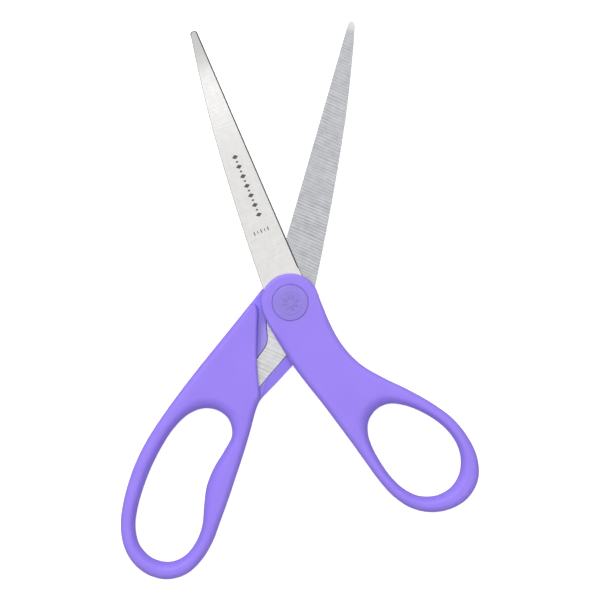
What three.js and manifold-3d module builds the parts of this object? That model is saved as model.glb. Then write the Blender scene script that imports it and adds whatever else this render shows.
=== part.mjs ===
// Straight 8 inch household scissors with moulded handles, part open and lying flat.
// Millimetres, +Z up. The pivot axis is Z, and z = 0 is the plane that the scissors lie on.
// Each half is drawn closed, with its blade along +Y and the pivot at the origin. The halves are
// then turned apart about the pivot, so +Y runs midway between the open blades.

import * as THREE from 'three';
import { mergeVertices } from 'three/addons/utils/BufferGeometryUtils.js';
import Module from 'manifold-3d';

const wasm = await Module();
wasm.setup();

// Driving dimensions

const openAngle = 31.2; // degrees between the blades as they lie
const bladeLength = 99.75; // pivot to tip
const bladeThickness = 1.8;
const bladeGap = 0.3; // between the two inner faces
const handleThickness = 10.6;
const bossRadius = 10.1;
const pocketClearance = 0.25; // moulding to steel, all round
const rimDrop = 0.15; // the cut-back plastic stops this far short of the blade's inner face

const edgeRounding = { width: 1.5, height: 2.2, steps: 3 }; // handle edges

const shaftRadius = 2.5;
const neckWidth = 5.2; // square neck that keys the screw into the back blade
const runningClearance = 0.1;
const headRadius = 4.6;
const headHeight = 1.5;
const washerThickness = 0.5;
const nutAcrossCorners = 8.8;
const nutHeight = 1.3;
const headBoreRadius = 5.1;
const capRadius = 6.3;
const capThickness = 1.4;
const capProud = 0.4; // the front cap stands this far out of its boss
const capGap = 0.3;

const anchorHoleRadius = 1.7; // the moulding grips each tang through these
const anchorPegRadius = 1.35;

// Levels, from the lying plane up

const parting = handleThickness / 2;
const backInner = parting - bladeGap / 2;
const backOuter = backInner - bladeThickness;
const frontInner = parting + bladeGap / 2;
const frontOuter = frontInner + bladeThickness;
const above = handleThickness + 5; // clear of everything, for cutters
const below = -5;

// Outlines, each in its closed half's own frame

const spinePoints = [
  [-2.1, 98.2], [-2.9, 92], [-3.7, 85.5], [-4.55, 77.5], [-5.45, 67.5],
  [-6.2, 54.5], [-6.75, 41], [-7.1, 27], [-7.25, 13], [-7.3, 0], [-7.2, -9.5],
];
const cuttingEdge = { heel: new THREE.Vector2(7.5, 0), tip: new THREE.Vector2(0.45, 98.4) };
const tangInside = [[4.1, -30.2], [8.3, -37.8]];
const tangEnd = [[9.3, -38.9], [13.2, -38.9], [14.1, -37.2]];
const tangOutside = [[6.9, -20.7], [5.45, -17.4], [5, -15.6], [5.1, -13.7], [6.3, -9.5], [7.3, -4.5]];
const anchorHoles = [[8.1, -31.2], [10.5, -35.8]];
const bevel = { width: 0.45, depth: 1.5, heel: 9.6 }; // ground along the cutting edge, from the heel up

const thumbOuter = [
  [10.1, -2.6], [10.7, -12], [12.3, -20], [15.8, -27.8], [21.5, -34.7], [28.7, -41.9],
  [35, -49.1], [40, -56.5], [42.8, -64.6], [43.4, -72], [41.2, -79.1], [35.8, -84],
  [28.9, -85.6], [22, -84.4], [16, -80.7], [11.7, -75.1], [8.9, -68.7], [6.7, -61.6],
  [4.3, -53.4], [1.7, -45.1], [-0.9, -36.9], [-3.8, -28.7], [-6.2, -21], [-8.1, -12.7], [-9.6, -5.2],
];
const thumbHole = [
  [20.7, -44.3], [16.1, -44.7], [12.4, -47.3], [10.5, -51.6], [10.4, -57], [11.5, -63.1],
  [13.2, -68.7], [15.9, -73.7], [19.9, -77.7], [25.4, -79.6], [31.1, -78.8], [35.5, -75.4],
  [38, -70], [38.1, -64], [35.8, -57.7], [31.5, -51.8], [26.2, -47],
];
const fingerOuter = [
  [-9.08, 4.43], [-10.5, 2.6], [-12.6, -1.6], [-15.8, -8], [-20.6, -17.4], [-25.4, -26.8], [-29.9, -36],
  [-34.1, -45.2], [-37.9, -54.7], [-40.3, -62.9], [-41.7, -71.4], [-42.1, -79.5], [-41.5, -86.7],
  [-39.2, -93.5], [-34.9, -98.9], [-28.9, -102.1], [-21.9, -102.4], [-15.7, -99.3], [-11.6, -93.7],
  [-9.1, -86.7], [-7.9, -79], [-6.8, -71.2], [-5.9, -63.2], [-5, -55], [-4.3, -46.6],
  [-3.9, -39], [-3.1, -35.2], [-0.2, -30.4], [3.3, -24.6], [6.4, -19], [8.9, -12.8], [10, -5.6],
];
const fingerHole = [
  [-21.6, -42], [-26.4, -45.1], [-30.2, -50.6], [-33, -57.6], [-35.1, -65.2], [-36.4, -73.2],
  [-36.9, -80.6], [-36.2, -87.3], [-33.4, -93], [-28, -96.4], [-21.9, -96.3], [-17.4, -93.1],
  [-14.8, -88], [-13.8, -81.9], [-14.6, -75], [-15.1, -68.3], [-14, -61.5], [-11.7, -54.9],
  [-10.2, -48.9], [-12.5, -43.9], [-16.8, -41.7],
];

// The shoulder is the wall where a handle's full thickness stops, so that the other half can turn
// past it. Each list runs down the wall from the boss, and the cut lies on the pivot's side.
const fingerShoulder = [
  [-13.4, -3.3], [-12, -3.2], [-10.9, -4], [-10.3, -5.6], [-9.5, -10], [-8.65, -14.6],
  [-7.75, -19.3], [-5.8, -26.6], [-3.85, -32.8], [-2.4, -37.2],
];
const thumbShoulder = [
  [14, -8.6], [12.3, -11], [10.2, -15.2], [7.2, -20.6], [3.8, -26.4], [0.4, -32.2], [-2, -36.6],
];

// Colours

const materials = {
  steelFront: { color: '#dcdcde', roughness: 0.3, metalness: 1 },
  steelBack: { color: '#b9b9bc', roughness: 0.42, metalness: 1 },
  steelSmall: { color: '#a9aaae', roughness: 0.35, metalness: 1 },
  moulding: { color: '#a58cfc', roughness: 0.5, metalness: 0 },
  cap: { color: '#9888de', roughness: 0.45, metalness: 0 },
};

// Solids

function solid(geometry) {
  const bare = geometry.index ? geometry.toNonIndexed() : geometry.clone();
  bare.deleteAttribute('normal');
  bare.deleteAttribute('uv');
  const merged = mergeVertices(bare, 1e-4);
  const corners = merged.index.array;
  const triVerts = [];
  for (let i = 0; i < corners.length; i += 3) {
    const [a, b, c] = corners.slice(i, i + 3);
    if (a !== b && b !== c && c !== a) triVerts.push(a, b, c);
  }
  const vertProperties = new Float32Array(merged.attributes.position.array);
  const mesh = new wasm.Mesh({ numProp: 3, vertProperties, triVerts: new Uint32Array(triVerts) });
  mesh.merge();
  return new wasm.Manifold(mesh);
}

function geometryOf(manifold) {
  const { vertProperties, triVerts } = manifold.getMesh();
  const geometry = new THREE.BufferGeometry();
  geometry.setAttribute('position', new THREE.BufferAttribute(vertProperties, 3));
  geometry.setIndex(new THREE.BufferAttribute(triVerts, 1));
  geometry.computeVertexNormals();
  return geometry;
}

function prism(outline, low, high, { hole = null, offset = 0, rounding = null } = {}) {
  const shape = new THREE.Shape(outline);
  if (hole) shape.holes.push(new THREE.Path(hole));
  const { width, height, steps } = rounding ?? { width: 0, height: 0, steps: 0 };
  const geometry = new THREE.ExtrudeGeometry(shape, {
    depth: high - low - 2 * height,
    bevelEnabled: true,
    bevelThickness: height,
    bevelSize: width,
    bevelOffset: offset - width,
    bevelSegments: steps,
  });
  return solid(geometry.translate(0, 0, low + height));
}

// A round piece on the pivot axis, from [radius, level] points that start and end on the axis.
function turned(profile, segments = 48) {
  const points = profile.map(([radius, level]) => new THREE.Vector2(radius, level));
  return solid(new THREE.LatheGeometry(points, segments).rotateX(Math.PI / 2));
}

function disc(radius, low, high, segments = 48) {
  return turned([[0, low], [radius, low], [radius, high], [0, high]], segments);
}

function peg([x, y], radius, low, high) {
  return disc(radius, low, high, 20).translate([x, y, 0]);
}

// Outline helpers

const mirrored = (points) => points.map(([x, y]) => [-x, y]);

function curveThrough(points, count, closed = false) {
  const knots = points.map(([x, y]) => new THREE.Vector3(x, y, 0));
  const curve = new THREE.CatmullRomCurve3(knots, closed, 'centripetal');
  const sampled = curve.getPoints(count).map(({ x, y }) => new THREE.Vector2(x, y));
  return closed ? sampled.slice(0, -1) : sampled;
}

function bossArc(fromDegrees, toDegrees, count, clockwise) {
  const [from, to] = [fromDegrees, toDegrees].map(THREE.MathUtils.degToRad);
  return new THREE.EllipseCurve(0, 0, bossRadius, bossRadius, from, to, clockwise).getPoints(count);
}

// The blank, seen as the front blade: spine on the left, cutting edge on the right.
function bladeOutline() {
  const { heel, tip } = cuttingEdge;
  const spineTip = new THREE.Vector2(...spinePoints[0]);
  // a cubic's two middle points lie beyond its crest, which is the blade's end
  const reach = (bladeLength - (tip.y + spineTip.y) / 8) / 0.75;
  const tipRound = new THREE.CubicBezierCurve(
    tip,
    new THREE.Vector2(0.2, reach),
    new THREE.Vector2(-1.8, reach),
    spineTip,
  );
  const straight = [...tangInside, ...tangEnd].map(([x, y]) => new THREE.Vector2(x, y));
  return [
    heel,
    ...tipRound.getPoints(8),
    ...curveThrough(spinePoints, 30).slice(1),
    ...straight,
    ...curveThrough(tangOutside, 14),
  ];
}

// The ground bevel runs along the cutting edge on the blade's outer face.
function bevelCutter() {
  const { heel, tip } = cuttingEdge;
  const reach = 2 * bladeLength;
  const cutter = new THREE.BoxGeometry(6, reach, 12).translate(3, 0, 0);
  cutter.rotateY(-Math.atan2(bevel.width, bevel.depth));
  cutter.rotateZ(Math.atan2(tip.y - heel.y, tip.x - heel.x) - Math.PI / 2);
  cutter.translate((heel.x + tip.x) / 2, (heel.y + tip.y) / 2, frontOuter - bevel.depth);
  const belowHeel = new THREE.BoxGeometry(40, reach, 40).translate(0, bevel.heel - reach / 2, 0);
  return solid(cutter).subtract(solid(belowHeel));
}

function frontBladeBlank() {
  let blank = prism(bladeOutline(), frontInner, frontOuter).subtract(bevelCutter());
  for (const place of anchorHoles) {
    blank = blank.subtract(peg(place, anchorHoleRadius, below, above));
  }
  return blank;
}

function frontBlade() {
  return frontBladeBlank().subtract(disc(shaftRadius + runningClearance, below, above));
}

// The same blank turned over, with a square hole for the screw's neck.
function backBlade() {
  const turnedOver = frontBladeBlank().rotate([0, 180, 0]).translate([0, 0, handleThickness]);
  const keyWidth = neckWidth + 2 * runningClearance;
  return turnedOver.subtract(solid(new THREE.BoxGeometry(keyWidth, keyWidth, 40)));
}

// A moulded handle: full outline, less the shoulder cut, the blade's pocket and the pivot's bores.
// The pocket leaves pegs of plastic through the tang's anchor holes.
function handle({ outer, hole, shoulder, cutLow, cutHigh, blade, pegs, pocketLow, pocketHigh }) {
  let body = prism(outer, 0, handleThickness, { hole, rounding: edgeRounding });
  body = body.subtract(prism(shoulder, cutLow, cutHigh));
  let pocket = prism(blade, pocketLow, pocketHigh, { offset: pocketClearance });
  for (const place of pegs) {
    pocket = pocket.subtract(peg(place, anchorPegRadius, below, above));
  }
  return body.subtract(pocket);
}

function fingerHandle() {
  const wall = curveThrough(fingerShoulder, 24);
  const cutRegion = [
    new THREE.Vector2(-22, -3.3),
    ...wall,
    new THREE.Vector2(-1.6, -41),
    new THREE.Vector2(24, -41),
    new THREE.Vector2(24, 20),
    new THREE.Vector2(-22, 20),
  ];
  const body = handle({
    outer: [...bossArc(-19, 154, 24, false), ...curveThrough(fingerOuter, 110).slice(1)],
    hole: curveThrough(fingerHole, 60, true),
    shoulder: cutRegion,
    cutLow: backInner - rimDrop,
    cutHigh: above,
    blade: mirroredOutline(bladeOutline()),
    pegs: mirrored(anchorHoles),
    pocketLow: backOuter - pocketClearance,
    pocketHigh: backInner + pocketClearance,
  });
  const capSeat = disc(capRadius + capGap, below, capThickness + capGap / 2);
  return body.subtract(capSeat).subtract(disc(headBoreRadius, below, backInner));
}

function thumbHandle() {
  const wall = curveThrough(thumbShoulder, 18);
  const cutRegion = [
    new THREE.Vector2(26, -8.6),
    ...wall,
    new THREE.Vector2(-4, -41),
    new THREE.Vector2(-26, -41),
    new THREE.Vector2(-26, 20),
    new THREE.Vector2(26, 20),
  ];
  const body = handle({
    outer: [...bossArc(0, 186, 26, false), ...curveThrough([...thumbOuter].reverse(), 100).slice(1)],
    hole: curveThrough(thumbHole, 52, true),
    shoulder: cutRegion,
    cutLow: below,
    cutHigh: frontInner + rimDrop,
    blade: bladeOutline(),
    pegs: anchorHoles,
    pocketLow: frontInner - pocketClearance,
    pocketHigh: frontOuter + pocketClearance,
  });
  const seatLevel = handleThickness + capProud - capThickness - capGap / 2;
  const capSeat = disc(capRadius + capGap, seatLevel, above);
  return body.subtract(capSeat).subtract(disc(headBoreRadius, frontInner, above));
}

function mirroredOutline(points) {
  return points.map(({ x, y }) => new THREE.Vector2(-x, y)).reverse();
}

// Head under the back cap, square neck in the back blade, round shaft through the front blade.
function pivotScrew() {
  const headTop = backOuter - runningClearance;
  const shaftTop = frontOuter + washerThickness + nutHeight + 0.4;
  const chamfer = 0.4;
  const headBottom = headTop - headHeight;
  const head = turned([
    [0, headBottom],
    [headRadius - chamfer, headBottom],
    [headRadius, headBottom + chamfer],
    [headRadius, headTop],
    [shaftRadius, headTop],
    [shaftRadius, shaftTop - chamfer],
    [shaftRadius - chamfer, shaftTop],
    [0, shaftTop],
  ]);
  const neckHeight = backInner - headTop + 0.1;
  const neck = new THREE.BoxGeometry(neckWidth, neckWidth, neckHeight);
  neck.translate(0, 0, headTop - 0.1 + neckHeight / 2);
  const slot = new THREE.BoxGeometry(1.1, 2 * headRadius + 2, 1.4).translate(0, 0, headBottom);
  return head.add(solid(neck)).subtract(solid(slot));
}

function springWasher() {
  const low = frontOuter + runningClearance;
  const inner = shaftRadius + 2 * runningClearance;
  return turned([
    [inner, low],
    [headRadius, low],
    [headRadius, low + washerThickness],
    [inner, low + washerThickness],
    [inner, low],
  ]);
}

function pivotNut() {
  const low = frontOuter + washerThickness + 2 * runningClearance;
  const body = disc(nutAcrossCorners / 2, low, low + nutHeight, 6);
  return body.subtract(disc(shaftRadius + runningClearance, below, above));
}

// A moulded cap with a chamfered rim, a raised ring and a raised centre on its outer face.
function pivotCap() {
  const chamfer = 0.35;
  const relief = { inner: 2.7, outer: 3.3, depth: 0.25 };
  const face = capThickness;
  const floor = face - relief.depth;
  return turned([
    [0, 0],
    [capRadius, 0],
    [capRadius, face - chamfer],
    [capRadius - chamfer, face],
    [relief.outer, face],
    [relief.outer, floor],
    [relief.inner, floor],
    [relief.inner, face],
    [0, face],
  ]);
}

// Assembly

function piece(name, manifold, material) {
  const mesh = new THREE.Mesh(geometryOf(manifold), new THREE.MeshStandardMaterial(material));
  mesh.name = name;
  return mesh;
}

function placed(mesh, level, turnedOver = false) {
  mesh.position.z = level;
  if (turnedOver) mesh.rotation.x = Math.PI;
  return mesh;
}

const halfAngle = THREE.MathUtils.degToRad(openAngle / 2);

const thumbHalf = new THREE.Group();
thumbHalf.rotation.z = halfAngle;
thumbHalf.add(
  piece('front_blade', frontBlade(), materials.steelFront),
  piece('thumb_handle', thumbHandle(), materials.moulding),
  placed(piece('front_pivot_cap', pivotCap(), materials.cap), handleThickness + capProud - capThickness),
);

const fingerHalf = new THREE.Group();
fingerHalf.rotation.z = -halfAngle;
fingerHalf.add(
  piece('back_blade', backBlade(), materials.steelBack),
  piece('finger_handle', fingerHandle(), materials.moulding),
  placed(piece('back_pivot_cap', pivotCap(), materials.cap), capThickness, true),
  piece('pivot_screw', pivotScrew(), materials.steelSmall),
  piece('spring_washer', springWasher(), materials.steelSmall),
  piece('pivot_nut', pivotNut(), materials.steelSmall),
);

const scissors = new THREE.Group();
scissors.add(thumbHalf, fingerHalf);

export default scissors;
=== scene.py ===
import math
import bmesh
import bpy
import numpy as np
from mathutils import Matrix, Vector
from mathutils.geometry import tessellate_polygon


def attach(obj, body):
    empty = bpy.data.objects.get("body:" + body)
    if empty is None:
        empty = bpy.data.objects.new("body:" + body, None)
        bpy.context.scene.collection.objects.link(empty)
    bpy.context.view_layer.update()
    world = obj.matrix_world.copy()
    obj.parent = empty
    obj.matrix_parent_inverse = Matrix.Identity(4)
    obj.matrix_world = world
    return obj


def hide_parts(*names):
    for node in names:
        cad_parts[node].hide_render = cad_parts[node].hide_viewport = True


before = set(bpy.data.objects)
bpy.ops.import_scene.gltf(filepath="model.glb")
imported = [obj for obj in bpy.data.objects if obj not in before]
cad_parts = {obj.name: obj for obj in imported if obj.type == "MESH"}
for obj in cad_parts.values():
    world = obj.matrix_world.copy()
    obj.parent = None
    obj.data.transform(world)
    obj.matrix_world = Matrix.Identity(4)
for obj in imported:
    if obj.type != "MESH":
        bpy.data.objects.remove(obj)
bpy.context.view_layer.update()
print("frame loaded")

# Everything below is worked out in millimetres, each half drawn closed with its blade along +Y,
# then turned about the pivot and written in metres.
mm = 0.001
layout = {
    "openAngle": 31.2,       # between the blades as they lie
    "viewRoll": 3.63,        # the pair leans this far to the left in the main view
    "thickness": 10.6,       # of the handles
    "bossRadius": 10.1,
    "bladeGap": 0.3,         # between the inner faces
}
bodies = {"finger": "finger_half", "thumb": "thumb_half"}
turns = {"finger": -layout["openAngle"] / 2, "thumb": layout["openAngle"] / 2}


def smoothCurve(points, perSpan, closed=False):
    # centripetal Catmull-Rom through the points
    knots = [np.array(p, float) for p in points]
    if closed:
        knots = [knots[-1]] + knots + knots[:2]
    else:
        knots = [2 * knots[0] - knots[1]] + knots + [2 * knots[-1] - knots[-2]]
    made = []
    for p0, p1, p2, p3 in zip(knots, knots[1:], knots[2:], knots[3:]):
        gaps = [max(np.linalg.norm(b - a), 1e-9) ** 0.5 for a, b in ((p0, p1), (p1, p2), (p2, p3))]
        m1 = (p1 - p0) / gaps[0] - (p2 - p0) / (gaps[0] + gaps[1]) + (p2 - p1) / gaps[1]
        m2 = (p2 - p1) / gaps[1] - (p3 - p1) / (gaps[1] + gaps[2]) + (p3 - p2) / gaps[2]
        m1, m2 = m1 * gaps[1], m2 * gaps[1]
        for t in np.linspace(0, 1, perSpan, endpoint=False):
            a, b = t * t * t, t * t
            made.append((2 * a - 3 * b + 1) * p1 + (a - 2 * b + t) * m1
                        + (3 * b - 2 * a) * p2 + (a - b) * m2)
    if not closed:
        made.append(knots[-2])
    return np.array(made)


def arc(radius, fromDegrees, toDegrees, count):
    angles = np.radians(np.linspace(fromDegrees, toDegrees, count))
    return radius * np.stack([np.cos(angles), np.sin(angles)], 1)


def mirrored(points):
    return np.array(points, float)[::-1] * (-1, 1)


def planDistance(x, y, outline):
    # signed distance to a closed outline in the plane, negative inside
    ends = np.roll(outline, -1, axis=0)
    nearest = np.full(x.shape, 1e18)
    inside = np.zeros(x.shape, bool)
    for (ax, ay), (bx, by) in zip(outline, ends):
        dx, dy = bx - ax, by - ay
        along = np.clip(((x - ax) * dx + (y - ay) * dy) / max(dx * dx + dy * dy, 1e-12), 0, 1)
        nearest = np.minimum(nearest, (x - ax - along * dx) ** 2 + (y - ay - along * dy) ** 2)
        if ay != by:
            inside ^= ((ay > y) != (by > y)) & (x < dx * (y - ay) / dy + ax)
    return np.where(inside, -1, 1) * np.sqrt(nearest)


def smoothMax(a, b, soft):
    return np.maximum(a, b) + np.maximum(soft - np.abs(a - b), 0) ** 2 / (4 * soft)


def smoothStep(low, high, value):
    t = np.clip((value - low) / (high - low), 0, 1)
    return t * t * (3 - 2 * t)


def turnAboutPivot(degrees):
    return Matrix.Rotation(math.radians(degrees), 4, "Z")


def solidFrom(points, faces):
    edited = bmesh.new()
    verts = [edited.verts.new(p) for p in points.tolist()]
    for face in faces:
        edited.faces.new([verts[i] for i in face])
    return edited


def finishPiece(name, edited, materials, turn, sharpAbove):
    # from millimetres in a closed half's frame to metres in place; the object stays at the origin
    for face in edited.faces:
        face.smooth = True
    for edge in edited.edges:
        edge.smooth = not (edge.is_manifold and edge.calc_face_angle(0.0) > math.radians(sharpAbove))
    mesh = bpy.data.meshes.new(name)
    edited.to_mesh(mesh)
    edited.free()
    mesh.transform(Matrix.Scale(mm, 4))
    mesh.transform(turnAboutPivot(turn))
    for material in materials:
        mesh.materials.append(material)
    made = bpy.data.objects.new(name, mesh)
    bpy.context.scene.collection.objects.link(made)
    return made


def gradedAxis(low, high, coarse, fine, start, end):
    # coordinates along one axis, closer together between start and end
    made = [low]
    while made[-1] < high:
        near = max(start - made[-1], made[-1] - end, 0)
        made.append(made[-1] + min(coarse, fine + 0.08 * near))
    return np.array(made)


def surfaceFrom(field, axes):
    # surface nets: one vertex in each cell that the surface crosses, one quad across each crossed edge
    values = field(*axes)
    solid = values < 0
    cells = tuple(len(axis) - 1 for axis in axes)
    total = np.zeros(cells + (3,))
    hits = np.zeros(cells)
    for a in [(i, j, k) for i in (0, 1) for j in (0, 1) for k in (0, 1)]:
        for axis in range(3):
            if a[axis]:
                continue
            b = tuple(v + (i == axis) for i, v in enumerate(a))
            va, vb = (
                values[c[0]:c[0] + cells[0], c[1]:c[1] + cells[1], c[2]:c[2] + cells[2]] for c in (a, b)
            )
            crossed = (va < 0) != (vb < 0)
            share = np.where(crossed, va / np.where(crossed, va - vb, 1), 0)
            for i in range(3):
                total[..., i] += crossed * (a[i] + (share if i == axis else 0))
            hits += crossed
    used = hits > 0
    number = np.full(cells, -1)
    number[used] = np.arange(used.sum())
    places = np.argwhere(used) + total[used] / hits[used][:, None]
    points = np.stack([np.interp(places[:, i], np.arange(len(axes[i])), axes[i]) for i in range(3)], 1)
    faces = []
    for axis in range(3):
        u, v = (axis + 1) % 3, (axis + 2) % 3
        first = [slice(None)] * 3
        second = [slice(None)] * 3
        first[axis], second[axis] = slice(0, -1), slice(1, None)
        where = np.argwhere(solid[tuple(first)] != solid[tuple(second)])
        where = where[(where[:, u] > 0) & (where[:, v] > 0)
                      & (where[:, u] < cells[u]) & (where[:, v] < cells[v])]
        outward = solid[tuple(where.T)]
        ring = []
        for du, dv in ((1, 1), (0, 1), (0, 0), (1, 0)):
            at = where.copy()
            at[:, u] -= du
            at[:, v] -= dv
            ring.append(number[tuple(at.T)])
        quad = np.stack(ring, 1)
        faces.append(np.where(outward[:, None], quad, quad[:, ::-1]))
    return points, np.concatenate(faces)


class Term:
    # a socket that sums and products can be written on
    def __init__(self, graph, socket):
        self.graph, self.socket = graph, socket

    def __add__(self, other):
        return self.graph.math("ADD", self, other)

    def __sub__(self, other):
        return self.graph.math("SUBTRACT", self, other)

    def __rsub__(self, other):
        return self.graph.math("SUBTRACT", other, self)

    def __mul__(self, other):
        return self.graph.math("MULTIPLY", self, other)

    def __truediv__(self, other):
        return self.graph.math("DIVIDE", self, other)

    __radd__ = __add__
    __rmul__ = __mul__


class Graph:
    def __init__(self, tree):
        self.tree = tree

    def node(self, kind, settings=None, inputs=None, output=0):
        made = self.tree.nodes.new(kind)
        for name, value in (settings or {}).items():
            setattr(made, name, value)
        for name, value in (inputs or {}).items():
            if isinstance(value, Term):
                self.tree.links.new(value.socket, made.inputs[name])
            else:
                made.inputs[name].default_value = value
        return Term(self, made.outputs[output])

    def math(self, operation, *values):
        return self.node("ShaderNodeMath", {"operation": operation}, dict(enumerate(values)))

    def ramp(self, value, low, high, outLow=0.0, outHigh=1.0):
        # smooth step from low to high, clamped
        return self.node(
            "ShaderNodeMapRange",
            {"interpolation_type": "SMOOTHSTEP"},
            {"Value": value, "From Min": low, "From Max": high, "To Min": outLow, "To Max": outHigh},
        )

    def blend(self, share, a, b):
        return self.node(
            "ShaderNodeMix",
            {"data_type": "RGBA"},
            {"Factor": share, 6: (*a, 1) if isinstance(a, tuple) else a,
             7: (*b, 1) if isinstance(b, tuple) else b},
            output=2,
        )

    def place(self):
        return self.node("ShaderNodeTexCoord", output=3)   # object coordinates

    def placed(self, turn, scale, shift=(0, 0, 0)):
        # object coordinates turned into a half's own frame, then stretched
        untwist = (0, 0, math.radians(-turn))
        turned = self.node("ShaderNodeMapping", {}, {"Vector": self.place(), "Rotation": untwist})
        return self.node("ShaderNodeMapping", {}, {"Vector": turned, "Scale": scale, "Location": shift})

    def along(self, turn):
        # millimetres from the pivot along a half, or along a line this much off it
        inMillimetres = self.placed(turn, (1 / mm, 1 / mm, 1 / mm))
        return self.node("ShaderNodeSeparateXYZ", {}, {"Vector": inMillimetres}, output=1)

    def noise(self, vector, scale, detail=2.0, roughness=0.5):
        sockets = {"Vector": vector, "Scale": scale, "Detail": detail, "Roughness": roughness}
        return self.node("ShaderNodeTexNoise", {}, sockets)

    def bump(self, height, distance, strength):
        sockets = {"Height": height, "Distance": distance, "Strength": strength}
        return self.node("ShaderNodeBump", {}, sockets)


def newMaterial(name, viewColor):
    material = bpy.data.materials.new(name)
    material.use_nodes = True
    material.diffuse_color = (*viewColor, 1)
    graph = Graph(material.node_tree)
    return material, graph, material.node_tree.nodes["Principled BSDF"]


def feed(graph, shader, links, constants):
    for name, term in links.items():
        graph.tree.links.new(term.socket, shader.inputs[name])
    for name, value in constants.items():
        shader.inputs[name].default_value = value


plasticLook = {
    "color": (0.345, 0.24, 0.93),
    "shade": (0.325, 0.222, 0.89),   # slow drift of the colour over the moulding
    "driftSize": 45.0,               # per metre, as all scales here
    "grainSize": 5200.0,             # the fine spark texture of the mould
    "grainDepth": 0.00001,
    "grainStrength": 0.6,
    "roughness": 0.385,
    "roughnessDrift": 0.05,
    "roughnessGrain": 0.06,
}
capLook = {**plasticLook, "color": (0.312, 0.238, 0.79), "shade": (0.297, 0.223, 0.76), "roughness": 0.345}
paintedFillLook = {
    "color": (0.47, 0.375, 0.97),    # painted fill light: paler, to lift the shade on the recessed floor beside the shoulder
    "paintedFillFrom": (-6.5, -1.0),      # millimetres along the half, all of it below the first
    "roughness": 0.44,
    "polish": 0.12,                  # how much smoother it is where the fill light is painted
}
moulded = {
    "IOR": 1.46,
    "Specular IOR Level": 0.42,
    "Subsurface Weight": 0.3,
    "Subsurface Scale": 0.003,
    "Subsurface Radius": (0.9, 0.8, 1.1),
}
outerSteelLook = {
    "bright": (0.685, 0.68, 0.67),
    "dull": (0.545, 0.54, 0.525),
    "roughness": 0.115,
    "lineTilt": 3.0,
    "lineStrength": 0.36,
    "lineSpacing": 0.9,               # millimetres between the wheel's marks
    "lineShare": 0.12,                # how much of the look they make up
    "mottle": 0.8,
    "fadeFrom": (64.0, 82.0),         # the marks are fainter from here to the tip
    "fadeTo": 0.8,
    "paintedTipReflection": (0.41, 0.41, 0.405),   # painted shade: the last stretch is duller, for the reflection fading toward the tip
    "paintedTipFrom": (81.0, 93.0),
}
innerSteelLook = {
    "bright": (0.555, 0.56, 0.585),
    "dull": (0.27, 0.275, 0.292),
    "roughness": 0.285,
    "lineTilt": -12.0,
    "lineStrength": 0.9,
    "lineSpacing": 1.05,
    "lineShare": 0.5,
    "mottle": 0.7,
    "fadeFrom": (64.0, 82.0),
    "fadeTo": 0.5,
    "bareWarm": (0.52, 0.517, 0.497), # behind the pivot the blank is bare and clouded
    "bareCool": (0.64, 0.643, 0.665),
    "bareFrom": (-9.0, 4.0),
    # painted highlight: the last stretch lightens toward the rounded tip
    "paintedTipReflection": (0.64, 0.64, 0.65),
    "paintedTipFrom": (95.0, 98.5),
}
grinding = {
    "fineScale": (45, 3600, 45),
    "broadScale": (32, 1300, 32),
    "broadShift": (3, 7, 1),
    "cloudScale": (60, 60, 60),
    "cloudShift": (5, 1, 2),
    "wanderScale": (70, 140, 70),
    "wanderShift": (2, 2, 8),
    "wander": 9.0,                    # radians that the wheel's marks drift by
    "mottleScale": (420, 300, 420),
    "mottleShift": (1, 9, 4),
    "leastPresence": 0.35,            # of the marks, where a cloud is thin
    "paintedTipShare": 0.75,
    "bareShare": 0.72,
    "cloudRoughness": 0.05,
    "markPolish": 0.08,
    "markDepth": 0.000006,
    "markStrength": 0.35,
}


def mouldedPlastic(name, look):
    material, graph, shader = newMaterial(name, look["color"])
    drift = graph.noise(graph.place(), look["driftSize"], 3.0)
    grain = graph.noise(graph.place(), look["grainSize"], 1.0)
    color = graph.blend(graph.ramp(drift, 0.3, 0.7), look["shade"], look["color"])
    roughness = drift * look["roughnessDrift"] + grain * look["roughnessGrain"] + look["roughness"]
    bump = graph.bump(grain, look["grainDepth"], look["grainStrength"])
    feed(graph, shader, {"Base Color": color, "Roughness": roughness, "Normal": bump}, moulded)
    return material


def paintedFillFace(name, turn):
    # the handle's plastic, going over to a paler tone beside the shoulder: painted fill light against the
    # shade on the recessed floor
    look = paintedFillLook
    material, graph, shader = newMaterial(name, plasticLook["color"])
    paintedFillMask = graph.ramp(graph.along(turn), *look["paintedFillFrom"], 1.0, 0.0)
    color = graph.blend(paintedFillMask, plasticLook["color"], look["color"])
    roughness = look["roughness"] - paintedFillMask * look["polish"]
    feed(graph, shader, {"Base Color": color, "Roughness": roughness}, moulded)
    return material


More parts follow.
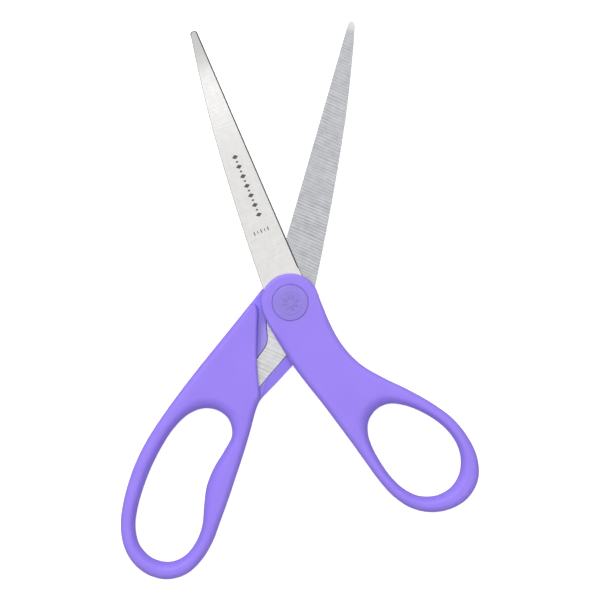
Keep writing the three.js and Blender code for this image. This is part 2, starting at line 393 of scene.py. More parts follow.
def groundSteel(name, look, turn):
    # crosswise grinding marks: streaks long across the blade and short along it
    g = grinding
    material, graph, shader = newMaterial(name, look["bright"])
    marksTurn = turn + look["lineTilt"]
    fineMarks = graph.noise(graph.placed(marksTurn, g["fineScale"]), 1.0, 2.0, 0.6)
    broadMarks = graph.noise(graph.placed(marksTurn, g["broadScale"], g["broadShift"]), 1.0, 2.0, 0.6)
    clouds = graph.noise(graph.placed(turn, g["cloudScale"], g["cloudShift"]), 1.0, 2.0)
    wander = graph.noise(graph.placed(turn, g["wanderScale"], g["wanderShift"]), 1.0, 2.0)
    mottle = graph.noise(graph.placed(turn, g["mottleScale"], g["mottleShift"]), 1.0, 4.0, 0.65)

    waves = graph.along(marksTurn) * (2 * math.pi / look["lineSpacing"]) + wander * g["wander"]
    wheel = graph.math("SINE", waves) * 0.5 + 0.5
    streaks = graph.ramp(fineMarks, 0.3, 0.7) * 0.5 + graph.ramp(broadMarks, 0.3, 0.7) * 0.5
    presence = graph.ramp(clouds, 0.32, 0.62, g["leastPresence"], 1.0)
    along = graph.along(turn)
    fade = graph.ramp(along, *look["fadeFrom"], 1.0, look["fadeTo"])
    share = look["lineShare"]
    marks = (streaks * (1 - share) + wheel * share - 0.5) * presence * fade
    level = marks * look["lineStrength"] + (mottle - 0.5) * look["mottle"] + 0.5

    color = graph.blend(level, look["dull"], look["bright"])
    # painted reflection towards the tips: duller on the outer faces, lighter on the inner faces
    color = graph.blend(graph.ramp(along, *look["paintedTipFrom"], 0.0, g["paintedTipShare"]), color, look["paintedTipReflection"])
    if "bareWarm" in look:
        bare = graph.ramp(along, *look["bareFrom"], g["bareShare"], 0.0)
        cloudy = graph.ramp(mottle * 0.45 + streaks * 0.55, 0.36, 0.64)
        color = graph.blend(bare, color, graph.blend(cloudy, look["bareWarm"], look["bareCool"]))
    roughness = clouds * g["cloudRoughness"] - level * g["markPolish"] + look["roughness"]
    bump = graph.bump(level, g["markDepth"], g["markStrength"])
    feed(graph, shader, {"Base Color": color, "Roughness": roughness, "Normal": bump}, {"Metallic": 1.0})
    return material


def plainSteel(name, color, roughness):
    material, graph, shader = newMaterial(name, color)
    specks = graph.noise(graph.place(), 1500.0, 3.0)
    tone = graph.blend(specks, tuple(0.82 * c for c in color), color)
    uneven = specks * 0.12 + (roughness - 0.06)
    bump = graph.bump(specks, 0.00001, 0.4)
    feed(graph, shader, {"Base Color": tone, "Roughness": uneven, "Normal": bump}, {"Metallic": 1.0})
    return material


def etchedDark():
    material, graph, shader = newMaterial("etchedMark", (0.08, 0.08, 0.08))
    specks = graph.noise(graph.place(), 4000.0, 2.0)
    tone = graph.blend(specks, (0.05, 0.05, 0.052), (0.13, 0.13, 0.13))
    feed(graph, shader, {"Base Color": tone, "Roughness": specks * 0.2 + 0.5}, {"Metallic": 0.3})
    return material


handlePlastic = mouldedPlastic("handlePlastic", plasticLook)
capPlastic = mouldedPlastic("capPlastic", capLook)
paintedFillPlastic = {side: paintedFillFace(f"{side}PaintedFillFace", turns[side]) for side in turns}
steel = {
    side: {
        "outer": groundSteel(f"{side}OuterSteel", outerSteelLook, turns[side]),
        "inner": groundSteel(f"{side}InnerSteel", innerSteelLook, turns[side]),
    }
    for side in turns
}
# painted shade: near-black steel on the ground bevel stands in for its dark reflection along the cutting
# edge
paintedDarkBevelSteel = plainSteel("paintedDarkBevelSteel", (0.15, 0.15, 0.15), 0.4)
fastenerSteel = plainSteel("fastenerSteel", (0.62, 0.62, 0.64), 0.35)
markInk = etchedDark()
print("materials made")


bladeSizes = {
    "length": 99.75,
    "thickness": 1.8,
    "heel": (7.5, 0.0),          # the cutting edge runs straight from here
    "tip": (0.45, 98.4),
    "tipCorners": {"thumb": (0.82, -2.7), "finger": (0.2, -1.8)},   # the front blade's end is blunter
    "spine": [(-2.1, 98.2), (-2.9, 92), (-3.7, 85.5), (-4.55, 77.5), (-5.45, 67.5), (-6.2, 54.5),
              (-6.75, 41), (-7.1, 27), (-7.25, 13), (-7.3, 0), (-7.2, -9.5)],
    "tangEnd": [(4.1, -30.2), (8.3, -37.8), (9.3, -38.9), (13.2, -38.9), (14.1, -37.2)],
    "tangOutside": [(6.9, -20.7), (5.45, -17.4), (5, -15.6), (5.1, -13.7), (6.3, -9.5), (7.3, -4.5)],
    "bevelWidth": 0.45,
    "bevelDepth": 1.5,
    "bevelStart": (9.6, 11.4),   # the ground bevel fades in over this stretch
    "tipBevel": 0.8,             # and goes on round the tip, this much as wide
    "edgeRadius": 0.15,          # broken edge of the spine and tip, outer side
    "innerBreak": 0.08,
    "keenBreak": 0.02,           # what is left of the broken edges where the blade cuts
    "darkBevelFrom": 0.3,      # share of the full bevel from which it has the bevel's near-black steel, painted shade for its dark reflection
    "pivotHole": 2.6,
    "anchorHoles": [(8.1, -31.2), (10.5, -35.8)],
    "anchorRadius": 1.7,
    "sharpAbove": 20,            # degrees between faces, for a hard edge
}
bladeInner = (layout["thickness"] + layout["bladeGap"]) / 2   # of the front blade
bladeOuter = bladeInner + bladeSizes["thickness"]


def bladeOutline(side, edgeSteps=26):
    s = bladeSizes
    cornerRight, cornerLeft = s["tipCorners"][side]
    heel, tip = np.array(s["heel"]), np.array(s["tip"])
    steps = np.linspace(0, 1, edgeSteps)[:, None]
    edge = heel + steps * (tip - heel)
    middle = sum(s["bevelStart"]) / 2
    start = np.array([[np.interp(y, edge[:, 1], edge[:, 0]), y] for y in (*s["bevelStart"], middle)])
    edge = np.concatenate([edge, start])
    edge = edge[np.argsort(edge[:, 1])]
    last = np.array(s["spine"][0])
    reach = (s["length"] - (tip[1] + last[1]) / 8) / 0.75   # puts the crest of the tip at the length
    handles = tip, np.array((cornerRight, reach)), np.array((cornerLeft, reach)), last
    t = np.linspace(0, 1, 10)[1:-1, None]
    cap = sum(math.comb(3, i) * (1 - t) ** (3 - i) * t ** i * handles[i] for i in range(4))
    return np.concatenate([
        edge, cap, smoothCurve(s["spine"], 5), np.array(s["tangEnd"]), smoothCurve(s["tangOutside"], 4),
    ])


def inwardNormals(outline):
    before, after = np.roll(outline, 1, axis=0), np.roll(outline, -1, axis=0)
    a = (outline - before) / np.linalg.norm(outline - before, axis=1)[:, None]
    b = (after - outline) / np.linalg.norm(after - outline, axis=1)[:, None]
    left = np.stack([-(a + b)[:, 1], (a + b)[:, 0]], 1)
    left /= np.linalg.norm(left, axis=1)[:, None]
    return left / np.clip((left * np.stack([-a[:, 1], a[:, 0]], 1)).sum(1), 0.5, 1)[:, None]


def circle(center, radius, count):
    return np.array(center) + arc(radius, 0, 360, count + 1)[:-1]


def blade(side, name):
    s = bladeSizes
    outline = bladeOutline(side)
    inward = inwardNormals(outline)
    heel, tip = s["heel"], s["tip"]
    slope = (tip[0] - heel[0]) / (tip[1] - heel[1])
    near = 0.02
    onEdge = np.abs(outline[:, 0] - heel[0] - slope * (outline[:, 1] - heel[1])) < near
    ground = np.where(onEdge, smoothStep(*s["bevelStart"], outline[:, 1]), 0)
    ground = np.where(outline[:, 1] > tip[1] + near, s["tipBevel"], ground)

    def mix(plain, bevelled):
        return plain + (bevelled - plain) * ground

    r, inner, keen = s["edgeRadius"], s["innerBreak"], s["keenBreak"]
    halfway = r * (1 - math.sqrt(0.5))
    rings = [
        (mix(inner, keen), bladeInner + 0 * ground),
        (0 * ground, bladeInner + mix(inner, keen)),
        (0 * ground, bladeOuter - mix(r, s["bevelDepth"])),
        (mix(halfway, s["bevelWidth"] / 2), bladeOuter - mix(halfway, s["bevelDepth"] / 2)),
        (mix(r, s["bevelWidth"]), bladeOuter + 0 * ground),
    ]
    edited = bmesh.new()
    loops = [
        [edited.verts.new((*p, z)) for p, z in zip(outline + inward * inset[:, None], level)]
        for inset, level in rings
    ]
    holes = [circle((0, 0), s["pivotHole"], 40)]
    holes += [circle(c, s["anchorRadius"], 24) for c in s["anchorHoles"]]
    holeLoops = [
        [[edited.verts.new((*p, z)) for p in hole] for z in (bladeInner, bladeOuter)] for hole in holes
    ]
    count = len(outline)
    for level, (low, high) in enumerate(zip(loops, loops[1:])):
        for i in range(count):
            j = (i + 1) % count
            face = edited.faces.new((low[i], low[j], high[j], high[i]))
            # faces on the ground bevel take the near-black steel, painted shade for the bevel's dark
            # reflection
            bevelled = level >= 2 and min(ground[i], ground[j]) > s["darkBevelFrom"]
            face.material_index = 2 if bevelled else 0
    for low, high in holeLoops:
        for i in range(len(low)):
            j = (i + 1) % len(low)
            edited.faces.new((low[j], low[i], high[i], high[j]))
    for rim, which in ((loops[0], 0), (loops[-1], 1)):
        loopsHere = [rim] + [pair[which] for pair in holeLoops]
        corners = [v for loop in loopsHere for v in loop]
        flat = [[Vector((v.co.x, v.co.y, 0)) for v in loop] for loop in loopsHere]
        for triangle in tessellate_polygon(flat):
            face = edited.faces.new([corners[i] for i in triangle])
            face.material_index = 1 if which == 0 else 0
    if side == "finger":
        # the back blade is the same blank turned over
        for v in edited.verts:
            v.co = (-v.co.x, v.co.y, layout["thickness"] - v.co.z)
    bmesh.ops.recalc_face_normals(edited, faces=edited.faces)
    finishes = steel[side]["outer"], steel[side]["inner"], paintedDarkBevelSteel
    return finishPiece(name, edited, finishes, turns[side], s["sharpAbove"])


frontBlade = blade("thumb", "front_blade_steel")
backBlade = blade("finger", "back_blade_steel")
print("blades made")


# Both handles are worked out with the open side up: the finger handle as it lies, the thumb handle
# turned over, so that in both the blade's pocket is just under the level where the cut stops.
handleSizes = {
    "thumb": {
        "outer": [(10.1, -2.6), (10.7, -12), (12.3, -20), (15.8, -27.8), (21.5, -34.7), (28.7, -41.9),
                  (35, -49.1), (40, -56.5), (42.8, -64.6), (43.4, -72), (41.2, -79.1), (35.8, -84),
                  (28.9, -85.6), (22, -84.4), (16, -80.7), (11.7, -75.1), (8.9, -68.7), (6.7, -61.6),
                  (4.3, -53.4), (1.7, -45.1), (-0.9, -36.9), (-3.8, -28.7), (-6.2, -21), (-8.1, -12.7),
                  (-9.6, -5.2)],
        "hole": [(20.7, -44.3), (16.1, -44.7), (12.4, -47.3), (10.5, -51.6), (10.4, -57), (11.5, -63.1),
                 (13.2, -68.7), (15.9, -73.7), (19.9, -77.7), (25.4, -79.6), (31.1, -78.8), (35.5, -75.4),
                 (38, -70), (38.1, -64), (35.8, -57.7), (31.5, -51.8), (26.2, -47)],
        "shoulder": [(14, -8.6), (12.3, -11), (10.2, -15.2), (7.2, -20.6), (3.8, -26.4), (0.4, -32.2),
                     (-2, -36.6)],
        "cutFrom": [(26, -8.6)],
        "cutBack": [(-4, -41), (-26, -41), (-26, 20), (26, 20)],
        "boss": (186, 0),
        "capSeat": 1.15,             # depth of the cap's seat
        "shoulderSide": 1,
        "margin": 0.82,              # round the outline, chosen so that no two walls share a cell
    },
    "finger": {
        "outer": [(-9.08, 4.43), (-10.5, 2.6), (-12.6, -1.6), (-15.8, -8), (-20.6, -17.4), (-25.4, -26.8),
                  (-29.9, -36), (-34.1, -45.2), (-37.9, -54.7), (-40.3, -62.9), (-41.7, -71.4),
                  (-42.1, -79.5), (-41.5, -86.7), (-39.2, -93.5), (-34.9, -98.9), (-28.9, -102.1),
                  (-21.9, -102.4), (-15.7, -99.3), (-11.6, -93.7), (-9.1, -86.7), (-7.9, -79),
                  (-6.8, -71.2), (-5.9, -63.2), (-5, -55), (-4.3, -46.6), (-3.9, -39), (-3.1, -35.2),
                  (-0.2, -30.4), (3.3, -24.6), (6.4, -19), (8.9, -12.8), (10, -5.6)],
        "hole": [(-21.6, -42), (-26.4, -45.1), (-30.2, -50.6), (-33, -57.6), (-35.1, -65.2),
                 (-36.4, -73.2), (-36.9, -80.6), (-36.2, -87.3), (-33.4, -93), (-28, -96.4),
                 (-21.9, -96.3), (-17.4, -93.1), (-14.8, -88), (-13.8, -81.9), (-14.6, -75),
                 (-15.1, -68.3), (-14, -61.5), (-11.7, -54.9), (-10.2, -48.9), (-12.5, -43.9),
                 (-16.8, -41.7)],
        "shoulder": [(-13.4, -3.3), (-12, -3.2), (-10.9, -4), (-10.3, -5.6), (-9.5, -10), (-8.65, -14.6),
                     (-7.75, -19.3), (-5.8, -26.6), (-3.85, -32.8), (-2.4, -37.2)],
        "cutFrom": [(-22, -3.3)],
        "cutBack": [(-1.6, -41), (24, -41), (24, 20), (-22, 20)],
        "boss": (-19, 154),
        "capSeat": 1.55,
        "shoulderSide": -1,
        "margin": 0.86,
    },
    "inset": 0.01,                   # keeps the curved outline inside the flat-sided solid
    "floor": 5.05,                   # where the cut stops
    "pocket": (3.30, 5.25),
    "pocketClearance": 0.08,
    "pocketRound": 0.16,
    "seatRadius": 6.16,
    "seatRound": 0.13,
    "boreRadius": 5.1,
    "outerRound": (1.2, 2.3),        # width of the rounding at the outline, by the room there is
    "outerRise": 3.4,                # how far down the side it reaches
    "holeRound": (1.4, 4.6),
    "holeRise": 5.25,
    "bossRound": 1.1,                # tighter round the pivot
    "bossRise": 1.6,
    "bossBlend": (-14, -3),          # where along the handle it goes over to that
    "meetRound": 0.2,                # where the two roundings meet
    "crestRound": 1.1,               # along the top of the shoulder
    "crestBlend": (6.5, 9),          # levels over which it goes over to that
    "edgeRound": 0.28,               # everywhere else
    "boreRound": 0.15,
    "boreDepth": 4.2,
    "coarse": 0.42,                  # grid steps away from and near the pivot
    "fine": 0.27,
    "border": 0.45,                  # room for the grid above and below
    "fineAcross": (-13, 11),
    "fineAlong": (-38, 11),
    "fineLevels": (4.4, 6.0),
    "coarseLevels": 0.36,
    "slides": 3,                     # times that each vertex is slid onto the surface
    "longestSlide": 0.12,
    "nudge": 0.01,                   # for the slope of the field
    "leastSlope": 0.05,
    "levelFrom": 0.985,              # cosine of the lean from which a face counts as level
    "floorWithin": 0.06,
    "paintedFillBeyond": 3,               # of the axis, on the shoulder's side
    "sharpAbove": 50,
}


def handlePlan(side):
    # the flat outlines that a handle is worked out from, closed half frame
    sizes = handleSizes[side]
    boss = arc(layout["bossRadius"], *sizes["boss"], 60)
    outer = smoothCurve(sizes["outer"], 5)
    outer = np.concatenate([boss, outer[1:]]) if side == "finger" else np.concatenate([boss, outer])
    hole = smoothCurve(sizes["hole"], 6, closed=True)
    wall = smoothCurve(sizes["shoulder"], 6)
    cut = np.concatenate([sizes["cutFrom"], wall, sizes["cutBack"]])
    steelOutline = bladeOutline(side, 2)
    if side == "finger":
        steelOutline = mirrored(steelOutline)
    return {"outer": outer, "hole": hole, "cut": cut, "steel": steelOutline}


def roundedSlab(inside, height, width, rise):
    # a flat slab whose edge is rounded over this width and rise
    half = layout["thickness"] / 2
    u = 1 - inside / width
    v = (np.abs(height - half) - (half - rise)) / rise
    corner = np.sqrt(np.maximum(u, 0) ** 2 + np.maximum(v, 0) ** 2)
    return (corner + np.minimum(np.maximum(u, v), 0) - 1) * np.minimum(width, rise)


def handleSolid(side, flat, height):
    # signed, negative in the plastic; flat holds the plan distances, height the level
    h, own = handleSizes, handleSizes[side]
    room = (-flat["outer"] + flat["hole"]) / 2
    nearBoss = smoothStep(*h["bossBlend"], flat["y"])
    outerWidth = np.clip(room, *h["outerRound"])
    outerWidth = outerWidth + (h["bossRound"] - outerWidth) * nearBoss
    outerRise = h["outerRise"] + (h["bossRise"] - h["outerRise"]) * nearBoss
    holeWidth = np.clip(room, *h["holeRound"])
    body = smoothMax(
        roundedSlab(-flat["outer"], height, outerWidth, outerRise),
        roundedSlab(flat["hole"], height, holeWidth, h["holeRise"]),
        h["meetRound"],
    )
    keep = -smoothMax(flat["cut"], h["floor"] - height, h["edgeRound"])
    crest = h["edgeRound"] + (h["crestRound"] - h["edgeRound"]) * smoothStep(*h["crestBlend"], height)
    body = smoothMax(body, keep, crest)
    low, high = h["pocket"]
    pocket = np.maximum(flat["steel"] - h["pocketClearance"], np.maximum(low - height, height - high))
    body = smoothMax(body, -pocket, h["pocketRound"])
    seat = np.maximum(flat["axis"] - h["seatRadius"], height - own["capSeat"])
    body = smoothMax(body, -seat, h["seatRound"])
    bore = np.maximum(flat["axis"] - h["boreRadius"], height - h["boreDepth"])
    return smoothMax(body, -bore, h["boreRound"])


def flatFields(plan, x, y):
    fields = {name: planDistance(x, y, plan[name]) for name in ("outer", "hole", "cut", "steel")}
    fields["outer"] += handleSizes["inset"]
    return {**fields, "axis": np.hypot(x, y), "y": y}


def handle(side, name):
    h = handleSizes
    plan = handlePlan(side)
    margin = h[side]["margin"]
    (x0, y0), (x1, y1) = plan["outer"].min(0) - margin, plan["outer"].max(0) + margin
    axes = (
        gradedAxis(x0, x1, h["coarse"], h["fine"], *h["fineAcross"]),
        gradedAxis(y0, y1, h["coarse"], h["fine"], *h["fineAlong"]),
        gradedAxis(
            -h["border"], layout["thickness"] + h["border"], h["coarseLevels"], h["fine"], *h["fineLevels"]
        ),
    )
    across, along = np.meshgrid(axes[0], axes[1], indexing="ij")
    grid = flatFields(plan, across, along)

    def field(x, y, z):
        return handleSolid(side, {k: v[:, :, None] for k, v in grid.items()}, z[None, None, :])

    points, faces = surfaceFrom(field, axes)

    def flatAt(x, y):
        # the plan fields between grid points, which are smooth enough there
        i = np.clip(np.searchsorted(axes[0], x) - 1, 0, len(axes[0]) - 2)
        j = np.clip(np.searchsorted(axes[1], y) - 1, 0, len(axes[1]) - 2)
        s = (x - axes[0][i]) / (axes[0][i + 1] - axes[0][i])
        t = (y - axes[1][j]) / (axes[1][j + 1] - axes[1][j])
        weights = ((1 - s) * (1 - t), s * (1 - t), (1 - s) * t, s * t)
        corners = ((0, 0), (1, 0), (0, 1), (1, 1))
        between = {
            k: sum(w * v[i + a, j + b] for w, (a, b) in zip(weights, corners)) for k, v in grid.items()
        }
        return {**between, "axis": np.hypot(x, y)}

    def solidAt(p):
        return handleSolid(side, flatAt(p[:, 0], p[:, 1]), p[:, 2])

    for _ in range(h["slides"]):
        here = solidAt(points)
        steps = h["nudge"] * np.eye(3)
        slope = np.stack([
            (solidAt(points + step) - solidAt(points - step)) / (2 * h["nudge"]) for step in steps
        ], 1)
        move = -here[:, None] * slope / np.maximum((slope ** 2).sum(1), h["leastSlope"])[:, None]
        length = np.linalg.norm(move, axis=1)[:, None]
        points = points + move * np.minimum(1, h["longestSlide"] / np.maximum(length, 1e-9))
    # the flat floor beside the shoulder gets the paler painted fill light, against the shade there
    diagonals = points[faces[:, 2:]] - points[faces[:, :2]]
    normals = np.cross(diagonals[:, 0], diagonals[:, 1])
    middles = points[faces].mean(1)
    paintedFillMask = normals[:, 2] > h["levelFrom"] * np.linalg.norm(normals, axis=1)
    paintedFillMask &= np.abs(middles[:, 2] - h["floor"]) < h["floorWithin"]
    paintedFillMask &= middles[:, 0] * h[side]["shoulderSide"] > h["paintedFillBeyond"]
    if side == "thumb":
        points = points * (1, 1, -1) + (0, 0, layout["thickness"])
        faces = faces[:, ::-1]
    edited = solidFrom(points, faces.tolist())
    for face, isPaintedFill in zip(edited.faces, paintedFillMask.tolist()):
        face.material_index = int(isPaintedFill)
    print(name, len(points), "points")
    finishes = handlePlastic, paintedFillPlastic[side]
    return finishPiece(name, edited, finishes, turns[side], h["sharpAbove"])


thumbHandle = handle("thumb", "thumb_handle_moulding")
fingerHandle = handle("finger", "finger_handle_moulding")
print("handles made")


capSizes = {
    "radius": 6.13,
    "thickness": 1.4,
    "chamfer": 0.18,
    "backChamfer": 0.2,
    "reliefHeight": 0.15,
    "sunk": 0.005,           # of the petals, in the disc's face
    "petals": 8,
    "petalRing": 2.05,       # radius that the petals' middles lie on
    "petalLength": 1.9,
    "petalWidth": 0.85,
    "petalSides": 16,
    "petalTop": 0.72,        # size of a petal's face against its foot
    "ringRadius": 3.9,
    "ringWidth": 0.3,
    "ringHeight": 0.09,
    "ringSlope": 0.12,       # how wide its sloping sides are
    "segments": 96,
    "sharpAbove": 28,        # degrees between faces, for a hard edge
    "frontLevel": layout["thickness"] + 0.4,
}


def lathe(name, profile, count, material, level, downward):
    # profile of (radius, height) from the axis out and back, spun about the pivot
    made = [(0, 0, profile[0][1])]
    for radius, height in profile[1:-1]:
        made += [(*p, height) for p in arc(radius, 0, 360, count + 1)[:-1]]
    made.append((0, 0, profile[-1][1]))
    rows = len(profile) - 2
    faces = []
    for i in range(count):
        j = (i + 1) % count
        faces.append((0, 1 + i, 1 + j))
        for r in range(rows - 1):
            a, b = 1 + r * count, 1 + (r + 1) * count
            faces.append((a + i, b + i, b + j, a + j))
        last = 1 + (rows - 1) * count
        faces.append((last + j, last + i, 1 + rows * count))
    points = np.array(made, float)
    if downward:
        points = points * (1, -1, -1)
    points += (0, 0, level)
    edited = solidFrom(points, faces)
    bmesh.ops.recalc_face_normals(edited, faces=edited.faces)
    return finishPiece(name, edited, [material], 0, capSizes["sharpAbove"])


def capDisc(name, level, downward):
    # its face stands outward from level; the rim is rounded and the middle lies a little lower
    c = capSizes
    face = c["thickness"] - c["reliefHeight"]
    bend = [
        (c["radius"] - c["chamfer"] * (1 - math.cos(a)), face - c["chamfer"] * (1 - math.sin(a)))
        for a in np.linspace(0, math.pi / 2, 5)
    ]
    outside = c["ringRadius"] + c["ringWidth"] / 2
    inside = c["ringRadius"] - c["ringWidth"] / 2
    crest = face + c["ringHeight"]
    slope = c["ringSlope"]
    ring = [(outside + slope, face), (outside, crest), (inside, crest), (inside - slope, face)]
    back = c["backChamfer"]
    profile = [(0, 0), (c["radius"] - back, 0), (c["radius"], back), *bend, *ring, (0, face)]
    return lathe(name, profile, c["segments"], capPlastic, level, downward)


def newGroup(name, inputs):
    # an empty Geometry Nodes tree with these named inputs
    tree = bpy.data.node_groups.new(name, "GeometryNodeTree")
    tree.interface.new_socket("Geometry", in_out="OUTPUT", socket_type="NodeSocketGeometry")
    for label, kind in inputs.items():
        tree.interface.new_socket(label, in_out="INPUT", socket_type=f"NodeSocket{kind}")
    source = tree.nodes.new("NodeGroupInput")
    graph = Graph(tree)
    return graph, {label: Term(graph, source.outputs[label]) for label in inputs}


def solidAndPainted(graph, laid, material):
    solid = graph.node("GeometryNodeRealizeInstances", {}, {"Geometry": laid})
    return graph.node("GeometryNodeSetMaterial", {}, {"Geometry": solid, "Material": material})


def runGroup(name, graph, last, values, turn, level, downward=False):
    # last is the geometry to hand out; the result is left as a plain mesh at the origin
    done = graph.tree.nodes.new("NodeGroupOutput")
    graph.tree.links.new(last.socket, done.inputs[0])
    carrier = bpy.data.objects.new(name, bpy.data.meshes.new(name))
    bpy.context.scene.collection.objects.link(carrier)
    modifier = carrier.modifiers.new("pattern", "NODES")
    modifier.node_group = graph.tree
    for item in graph.tree.interface.items_tree:
        if item.in_out == "INPUT":
            modifier[item.identifier] = values[item.name]
    evaluated = carrier.evaluated_get(bpy.context.evaluated_depsgraph_get())
    mesh = bpy.data.meshes.new_from_object(evaluated)
    if downward:
        mesh.transform(Matrix.Rotation(math.pi, 4, "X"))
    mesh.transform(turnAboutPivot(turn) @ Matrix.Translation((0, 0, level * mm)))
    carrier.modifiers.remove(modifier)
    carrier.data = mesh
    print(name, len(mesh.polygons), "faces")
    return carrier


def petalPattern():
    # petals laid round a circle, each pointing away from the middle
    graph, given = newGroup("petalPattern", {
        "Petals": "Int", "Ring Radius": "Float", "Length": "Float", "Width": "Float", "Height": "Float",
        "Sides": "Int", "Top": "Float", "Material": "Material",
    })
    ring = graph.node("GeometryNodeMeshCircle", {}, {
        "Vertices": given["Petals"], "Radius": given["Ring Radius"],
    })
    petal = graph.node("GeometryNodeMeshCone", {}, {
        "Vertices": given["Sides"], "Radius Top": given["Top"], "Radius Bottom": 1.0,
        "Depth": given["Height"],
    })
    shape = graph.node("ShaderNodeCombineXYZ", {}, {
        "X": given["Length"] * 0.5, "Y": given["Width"] * 0.5, "Z": 1.0,
    })
    index = graph.node("GeometryNodeInputIndex")
    heading = graph.node("ShaderNodeCombineXYZ", {}, {"Z": index * (2 * math.pi) / given["Petals"]})
    laid = graph.node("GeometryNodeInstanceOnPoints", {}, {
        "Points": ring, "Instance": petal, "Rotation": heading, "Scale": shape,
    })
    return graph, solidAndPainted(graph, laid, given["Material"])


def rosette(name, turn, level, downward):
    c = capSizes
    graph, last = petalPattern()
    values = {
        "Petals": c["petals"],
        "Ring Radius": c["petalRing"] * mm,
        "Length": c["petalLength"] * mm,
        "Width": c["petalWidth"] * mm,
        "Height": c["reliefHeight"] * mm,
        "Sides": c["petalSides"],
        "Top": c["petalTop"],
        "Material": capPlastic,
    }
    return runGroup(name, graph, last, values, turn, level, downward)


reliefFoot = capSizes["reliefHeight"] + capSizes["sunk"]
frontCap = capDisc("front_pivot_cap_disc", capSizes["frontLevel"] - capSizes["thickness"], False)
backCap = capDisc("back_pivot_cap_disc", capSizes["thickness"], True)
frontRosette = rosette("front_cap_rosette", turns["thumb"], capSizes["frontLevel"] - reliefFoot, False)
backRosette = rosette("back_cap_rosette", turns["finger"], reliefFoot, True)
print("pivot caps made")


etching = {
    "lozengeRow": {
        "marks": 13,
        "sides": 4,
        "spacing": 1.79,
        "length": 1.55,          # of a mark, along the row
        "width": 2.3,
        "smallShare": 0.5,       # size of every second mark
        "start": (-0.2, 32.3),   # in the front blade's closed frame
        "heading": 90,
    },
    "tickRow": {
        "marks": 5,
        "sides": 6,
        "spacing": 1.25,
        "length": 0.42,
        "width": 1.7,
        "smallShare": 0.75,
        "start": (-3.8, 26.5),
        "heading": 0,
    },
    "lean": 3.3,                 # degrees, so that the rows follow the middle of the blade
    "depth": 0.012,
    "proudShare": 0.3,           # how far up the blade's face cuts each mark's middle
}


def markRow():
    # flat marks in a straight row along X, with every second one smaller
    graph, given = newGroup("markRow", {
        "Marks": "Int", "Sides": "Int", "Spacing": "Float", "Length": "Float", "Width": "Float",
        "Small Share": "Float", "Height": "Float", "Material": "Material",
    })
    step = graph.node("ShaderNodeCombineXYZ", {}, {"X": given["Spacing"]})
    row = graph.node("GeometryNodeMeshLine", {}, {"Count": given["Marks"], "Offset": step})
    mark = graph.node("GeometryNodeMeshCylinder", {}, {
        "Vertices": given["Sides"], "Radius": 1.0, "Depth": given["Height"],
    })
    odd = graph.math("MODULO", graph.node("GeometryNodeInputIndex"), 2.0)
    size = 1.0 - odd * (1.0 - given["Small Share"])
    shape = graph.node("ShaderNodeCombineXYZ", {}, {
        "X": given["Length"] * size * 0.5, "Y": given["Width"] * size * 0.5, "Z": 1.0,
    })
    laid = graph.node("GeometryNodeInstanceOnPoints", {}, {"Points": row, "Instance": mark, "Scale": shape})
    return graph, solidAndPainted(graph, laid, given["Material"])


def etchedRow(name, row):
    graph, last = markRow()
    values = {
        "Marks": row["marks"],
        "Sides": row["sides"],
        "Spacing": row["spacing"] * mm,
        "Length": row["length"] * mm,
        "Width": row["width"] * mm,
        "Small Share": row["smallShare"],
        "Height": etching["depth"] * mm,
        "Material": markInk,
    }
    piece = runGroup(name, graph, last, values, 0, bladeOuter + etching["depth"] * etching["proudShare"])
    x, y = row["start"]
    start = Matrix.Translation((x * mm, y * mm, 0))
    heading = turnAboutPivot(row["heading"] + etching["lean"])
    piece.data.transform(turnAboutPivot(turns["thumb"]) @ start @ heading)
    return piece


etchedLozenges = etchedRow("front_blade_lozenges", etching["lozengeRow"])
etchedTicks = etchedRow("front_blade_ticks", etching["tickRow"])
print("etched marks made")


for piece, side, stoodFor, finish in (
    (thumbHandle, "thumb", ["thumb_handle"], "handle_plastic"),
    (fingerHandle, "finger", ["finger_handle"], "handle_plastic"),
    (frontBlade, "thumb", ["front_blade"], "blade_steel"),
    (backBlade, "finger", ["back_blade"], "blade_steel"),
    (frontCap, "thumb", ["front_pivot_cap"], "cap_plastic"),
    (backCap, "finger", ["back_pivot_cap"], "cap_plastic"),
    (frontRosette, "thumb", [], "cap_plastic"),
    (backRosette, "finger", [], "cap_plastic"),
    (etchedLozenges, "thumb", [], "blade_steel"),
    (etchedTicks, "thumb", [], "blade_steel"),
):
    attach(piece, bodies[side])
    if stoodFor:
        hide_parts(*stoodFor)

for node in ("pivot_screw", "spring_washer", "pivot_nut"):
    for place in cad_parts[node].material_slots:
        place.material = fastenerSteel
print("pieces ride on their halves")


studio = {
    "floorColor": (0.9, 0.9, 0.9),
    "floorSize": 12.0,
    "floorSun": 2.5,             # lights the floor alone, so that it stays white
    "lights": {
        "keySoftbox": {"power": 10.0, "size": (0.9, 0.9), "place": (-0.35, 0.88, 1.05)},
        "overheadSoftbox": {"power": 13.0, "size": (1.9, 1.9), "place": (0, 0.05, 1.7)},
        "bladeStrip": {"power": 0.0062, "size": (0.12, 0.046), "place": (-0.045, 0.147, 1.14)},
    },
    "roomBelow": 0.35,
    "roomWall": 0.8,
    "roomAbove": 0.1,
    "wallFoot": (-0.3, -0.03),   # heights between which the walls come up, looking out
    "wallHead": (0.3, 0.88),     # and between which they give way to the dim part overhead
    "lens": 200.0,
    "cameraHeight": 1.159,
    "aim": (3.39, 0.9),          # millimetres right of and above the pivot, in the main view
}


def areaLight(name, place, size, power):
    lamp = bpy.data.lights.new(name, "AREA")
    lamp.shape = "RECTANGLE"
    lamp.size, lamp.size_y = size
    lamp.energy = power
    made = bpy.data.objects.new(name, lamp)
    made.location = place
    made.rotation_euler = Vector(place).to_track_quat("Z", "Y").to_euler()
    made.visible_camera = False
    bpy.context.scene.collection.objects.link(made)
    return made


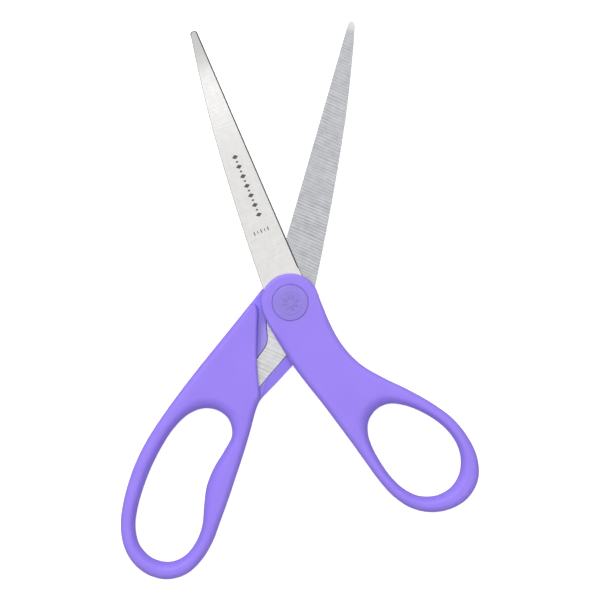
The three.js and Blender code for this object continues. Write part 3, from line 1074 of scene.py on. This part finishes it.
def paperFloor():
    reach = studio["floorSize"] / 2
    mesh = bpy.data.meshes.new("floor")
    corners = [(-reach, -reach, 0), (reach, -reach, 0), (reach, reach, 0), (-reach, reach, 0)]
    mesh.from_pydata(corners, [], [(0, 1, 2, 3)])
    made = bpy.data.objects.new("floor", mesh)
    bpy.context.scene.collection.objects.link(made)
    material, graph, shader = newMaterial("paperFloor", studio["floorColor"])
    pale = tuple(0.985 * c for c in studio["floorColor"])
    tone = graph.blend(graph.noise(graph.place(), 6.0), pale, studio["floorColor"])
    feed(graph, shader, {"Base Color": tone}, {"Roughness": 0.9, "Specular IOR Level": 0.1})
    mesh.materials.append(material)
    return made


floor = paperFloor()
floor.visible_diffuse = False
floor.visible_glossy = False

onlyFloor = bpy.data.collections.new("floorLit")
onlyFloor.objects.link(floor)
sun = bpy.data.lights.new("floorSun", "SUN")
sun.energy = studio["floorSun"]
sun.use_shadow = False
sunObject = bpy.data.objects.new("floorSun", sun)
bpy.context.scene.collection.objects.link(sunObject)
sunObject.light_linking.receiver_collection = onlyFloor

for name, light in studio["lights"].items():
    areaLight(name, light["place"], light["size"], light["power"])


def paleRoom():
    # pale walls round the table, dim overhead where the softboxes hang, dimmer still below
    made = bpy.data.worlds.new("paleRoom")
    made.use_nodes = True
    graph = Graph(made.node_tree)
    facing = graph.node("ShaderNodeTexCoord", output=0)
    lift = graph.node("ShaderNodeSeparateXYZ", {}, {"Vector": facing}, output=2)
    low, wall, high = (studio[k] for k in ("roomBelow", "roomWall", "roomAbove"))
    foot = graph.ramp(lift, *studio["wallFoot"], low, wall)
    glow = foot + graph.ramp(lift, *studio["wallHead"], 0.0, high - wall)
    graph.tree.links.new(glow.socket, made.node_tree.nodes["Background"].inputs["Strength"])
    made.node_tree.nodes["Background"].inputs["Color"].default_value = (1, 1, 1, 1)
    return made


bpy.context.scene.world = paleRoom()

roll = math.radians(layout["viewRoll"])
camera = bpy.data.cameras.new("camera")
camera.lens = studio["lens"]
camera.clip_end = 50
cameraObject = bpy.data.objects.new("camera", camera)
right = Vector((math.cos(roll), -math.sin(roll), 0))
up = Vector((math.sin(roll), math.cos(roll), 0))
aim = (right * studio["aim"][0] + up * studio["aim"][1]) * mm
cameraObject.location = aim + Vector((0, 0, studio["cameraHeight"]))
cameraObject.rotation_euler = (0, 0, -roll)
bpy.context.scene.collection.objects.link(cameraObject)
bpy.context.scene.camera = cameraObject
bpy.context.scene.view_settings.view_transform = "Standard"
print("studio set")
